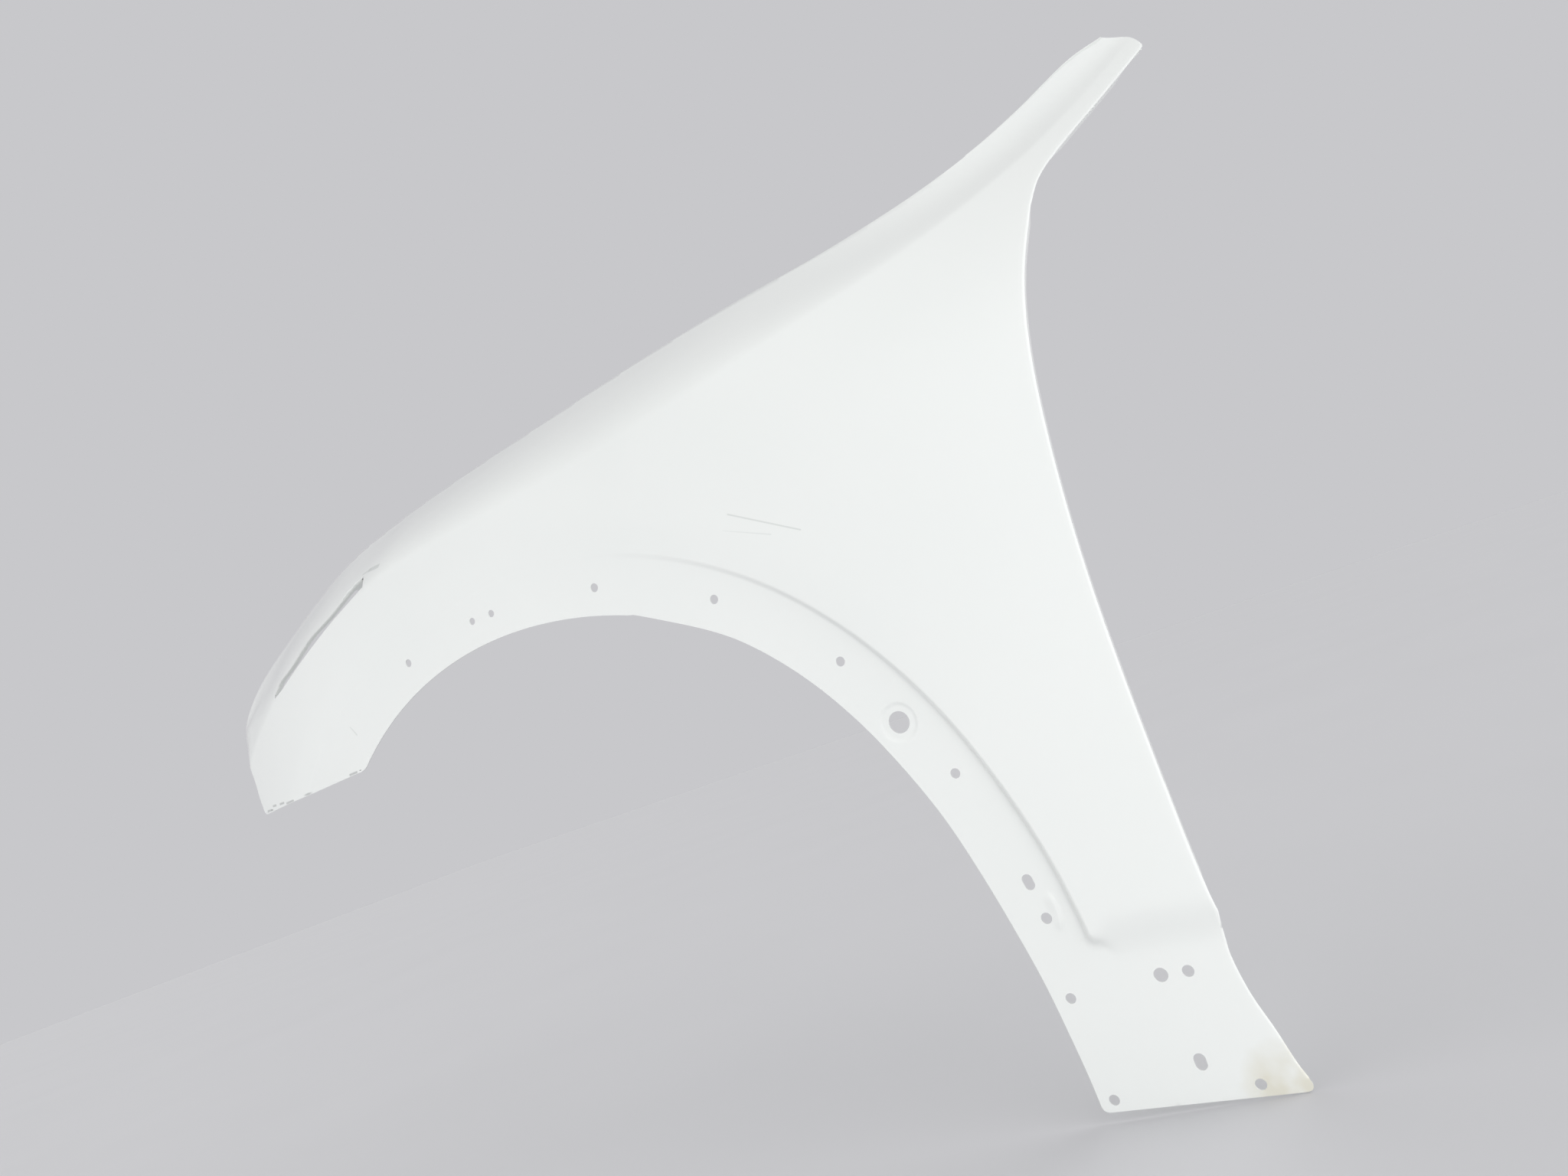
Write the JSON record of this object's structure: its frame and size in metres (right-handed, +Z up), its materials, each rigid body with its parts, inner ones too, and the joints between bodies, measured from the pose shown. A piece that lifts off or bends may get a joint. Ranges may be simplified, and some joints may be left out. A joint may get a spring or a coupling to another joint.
{
  "type": "car front fender",
  "caption": "Left front car fender in pressed sheet steel, with a wheel arch, a recessed trim seat, a bolting foot, a slim tail and a folded hood flange.",
  "frame": {"origin": "on the back face of the foot plate, near its middle, where the fender bears on the car's sill", "axes": "+X runs rearward along the car, +Y inboard and square to the foot plate, +Z up; the painted outer face looks along -Y"},
  "size_m": [1.0495, 0.1266, 0.6896],
  "materials": {
    "white_body_paint": "gloss white paint, lightly marked"
  },
  "bodies": {
    "root": {"fender_panel": "white_body_paint"}
  },
  "joints": []
}
